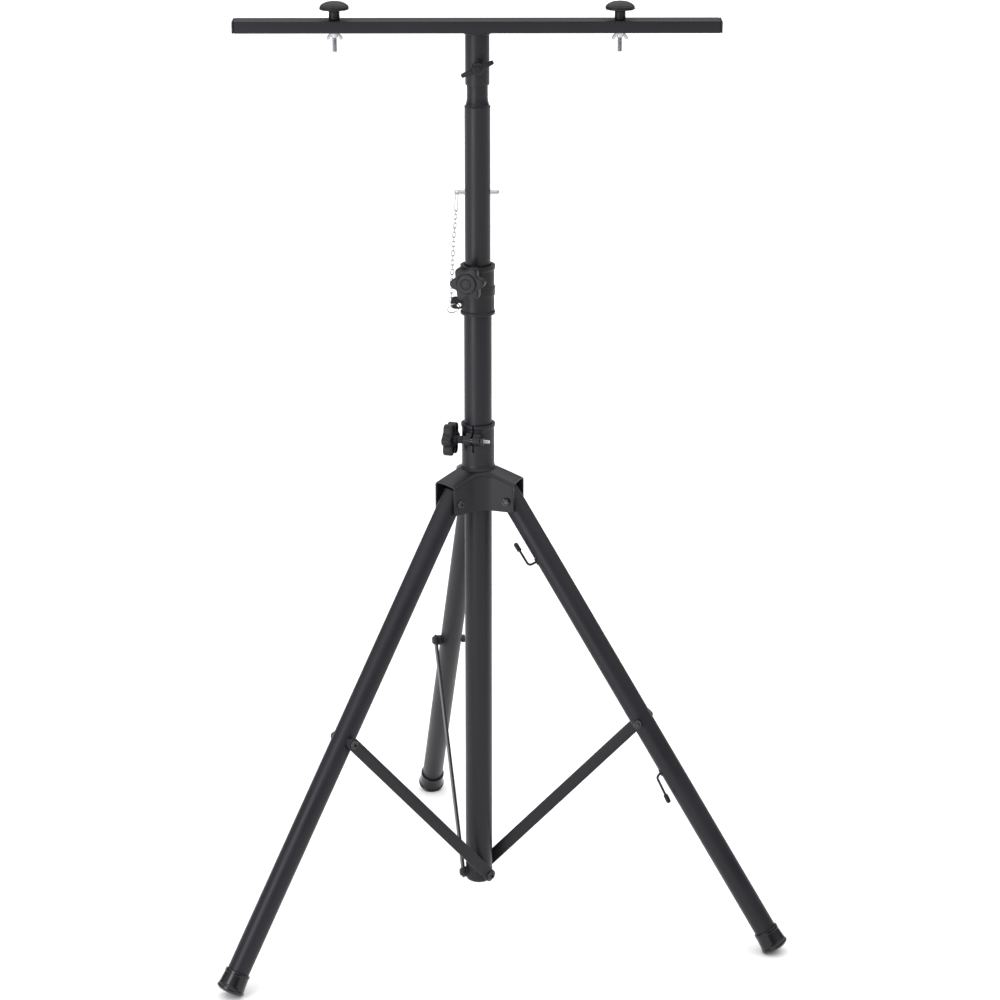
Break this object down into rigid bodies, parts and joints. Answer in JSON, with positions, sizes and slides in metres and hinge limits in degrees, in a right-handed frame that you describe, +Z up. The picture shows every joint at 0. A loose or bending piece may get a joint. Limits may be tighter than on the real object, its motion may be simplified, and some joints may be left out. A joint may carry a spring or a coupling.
{
  "type": "tripod lamp stand",
  "caption": "Folding steel tripod stand with a telescopic mast, a clamped sliding hub and a crossbar that carries two lamps.",
  "frame": {"origin": "middle of the bounding box in X and Y, at the level the feet stand on", "axes": "+Z up along the mast, +X along the crossbar towards the leg with the two cable hooks, -Y towards the mast knob and the T-handle"},
  "size_m": [0.7284, 0.6956, 1.2128],
  "materials": {
    "powder_coat": "satin charcoal powder coat",
    "black_plastic": "moulded black plastic",
    "rubber": "smooth black rubber",
    "zinc": "bright zinc plate",
    "black_bolt": "black oxide"
  },
  "bodies": {
    "column": {"main_tube": "powder_coat", "base_boss": "powder_coat", "base_bolt_1": "black_bolt", "base_bolt_2": "black_bolt", "base_bolt_3": "black_bolt", "mast_collar": "black_plastic", "pin_ring": "zinc"},
    "hub": {"hub": "powder_coat", "hub_nut": "black_bolt", "leg_pivot_bolt_1": "black_bolt", "leg_pivot_nut_1": "black_bolt", "leg_pivot_bolt_2": "black_bolt", "leg_pivot_nut_2": "black_bolt", "leg_pivot_bolt_3": "black_bolt", "leg_pivot_nut_3": "black_bolt"},
    "hub_knob": {"hub_knob": "black_plastic", "hub_knob_cap": "black_plastic", "hub_screw": "zinc"},
    "mast_knob": {"mast_knob": "black_plastic", "mast_knob_cap": "black_plastic", "mast_knob_screw": "zinc"},
    "mast": {"upper_tube": "powder_coat", "guide_bush": "black_plastic"},
    "pin": {"safety_pin": "zinc", "pin_chain": "zinc"},
    "head": {"crossbar": "powder_coat", "bar_cap_left": "black_plastic", "bar_cap_right": "black_plastic", "socket_tube": "powder_coat"},
    "socket_handle": {"socket_handle": "black_plastic", "socket_screw": "zinc"},
    "lamp_knob_left": {"lamp_knob_left": "black_plastic", "lamp_bolt_left": "zinc"},
    "lamp_knob_right": {"lamp_knob_right": "black_plastic", "lamp_bolt_right": "zinc"},
    "wing_nut_left": {"wing_nut_left": "zinc"},
    "wing_nut_right": {"wing_nut_right": "zinc"},
    "leg_rear": {"leg_tube_1": "powder_coat", "foot_1": "rubber", "saddle_1": "black_plastic", "brace_bolt_1": "black_bolt"},
    "brace_rear": {"brace_1": "powder_coat", "brace_stud_1": "black_bolt"},
    "leg_left": {"leg_tube_2": "powder_coat", "foot_2": "rubber", "saddle_2": "black_plastic", "brace_bolt_2": "black_bolt"},
    "brace_left": {"brace_2": "powder_coat", "brace_stud_2": "black_bolt"},
    "leg_right": {"leg_tube_3": "powder_coat", "foot_3": "rubber", "saddle_3": "black_plastic", "brace_bolt_3": "black_bolt", "upper_hook": "powder_coat", "upper_hook_tip": "black_plastic", "lower_hook": "powder_coat", "lower_hook_tip": "black_plastic"},
    "brace_right": {"brace_3": "powder_coat", "brace_stud_3": "black_bolt"}
  },
  "joints": [
    {"name": "hub_slide", "type": "slide", "parent": "column", "child": "hub", "axis": [0, 0, 1], "range_m": [0, 0.136]},
    {"name": "leg_rear_fold", "type": "hinge", "parent": "hub", "child": "leg_rear", "pos_m": [-0.04214, -0.02522, 0.58067], "axis": [-0.9854, -0.1702, 0], "range_deg": [0, 32.47]},
    {"name": "brace_rear_fold", "type": "hinge", "parent": "column", "child": "brace_rear", "pos_m": [-0.03427, -0.07075, 0.05267], "axis": [0.9854, 0.1702, 0], "range_deg": [0, 34.39]},
    {"name": "leg_left_fold", "type": "hinge", "parent": "hub", "child": "leg_left", "pos_m": [-0.06917, -0.09869, 0.58067], "axis": [0.6401, -0.7683, 0], "range_deg": [0, 32.47]},
    {"name": "brace_left_fold", "type": "hinge", "parent": "column", "child": "brace_left", "pos_m": [-0.03367, -0.06912, 0.05267], "axis": [-0.6401, 0.7683, 0], "range_deg": [0, 34.39]},
    {"name": "leg_right_fold", "type": "hinge", "parent": "hub", "child": "leg_right", "pos_m": [0.00798, -0.08537, 0.58067], "axis": [0.3453, 0.9385, 0], "range_deg": [0, 32.47]},
    {"name": "brace_right_fold", "type": "hinge", "parent": "column", "child": "brace_right", "pos_m": [-0.03538, -0.06942, 0.05267], "axis": [-0.3453, -0.9385, 0], "range_deg": [0, 34.39]},
    {"name": "mast_slide", "type": "slide", "parent": "column", "child": "mast", "axis": [0, 0, 1], "range_m": [-0.0885, 0.34]},
    {"name": "bar_swivel", "type": "hinge", "parent": "mast", "child": "head", "pos_m": [-0.03444, -0.06976, 1.12867], "axis": [0, 0, 1], "continuous": true},
    {"name": "mast_knob_turn", "type": "hinge", "parent": "column", "child": "mast_knob", "pos_m": [-0.0435, -0.09763, 0.86817], "axis": [-0.309, -0.9511, 0], "continuous": true},
    {"name": "hub_knob_turn", "type": "hinge", "parent": "hub", "child": "hub_knob", "pos_m": [-0.05381, -0.09103, 0.65967], "axis": [-0.9563, 0.2924, 0], "continuous": true},
    {"name": "socket_handle_turn", "type": "hinge", "parent": "head", "child": "socket_handle", "pos_m": [-0.03444, -0.08976, 1.13347], "axis": [0, -1, 0], "continuous": true},
    {"name": "lamp_knob_left_turn", "type": "hinge", "parent": "head", "child": "lamp_knob_left", "pos_m": [-0.20944, -0.06976, 1.19097], "axis": [0, 0, 1], "continuous": true},
    {"name": "wing_nut_left_turn", "type": "hinge", "parent": "head", "child": "wing_nut_left", "pos_m": [-0.20944, -0.06976, 1.17067], "axis": [0, 0, 1], "continuous": true},
    {"name": "lamp_knob_right_turn", "type": "hinge", "parent": "head", "child": "lamp_knob_right", "pos_m": [0.14056, -0.06976, 1.19097], "axis": [0, 0, 1], "continuous": true},
    {"name": "wing_nut_right_turn", "type": "hinge", "parent": "head", "child": "wing_nut_right", "pos_m": [0.14056, -0.06976, 1.17067], "axis": [0, 0, 1], "continuous": true},
    {"name": "pin_pull", "type": "slide", "parent": "mast", "child": "pin", "axis": [-1, 0, 0], "range_m": [0, 0.045]}
  ],
  "couplings": [
    {"joint": "leg_rear_fold", "follows": "hub_slide", "rad_per_m": 4.1668},
    {"joint": "brace_rear_fold", "follows": "hub_slide", "rad_per_m": 4.4132},
    {"joint": "leg_left_fold", "follows": "hub_slide", "rad_per_m": 4.1668},
    {"joint": "brace_left_fold", "follows": "hub_slide", "rad_per_m": 4.4132},
    {"joint": "leg_right_fold", "follows": "hub_slide", "rad_per_m": 4.1668},
    {"joint": "brace_right_fold", "follows": "hub_slide", "rad_per_m": 4.4132}
  ]
}
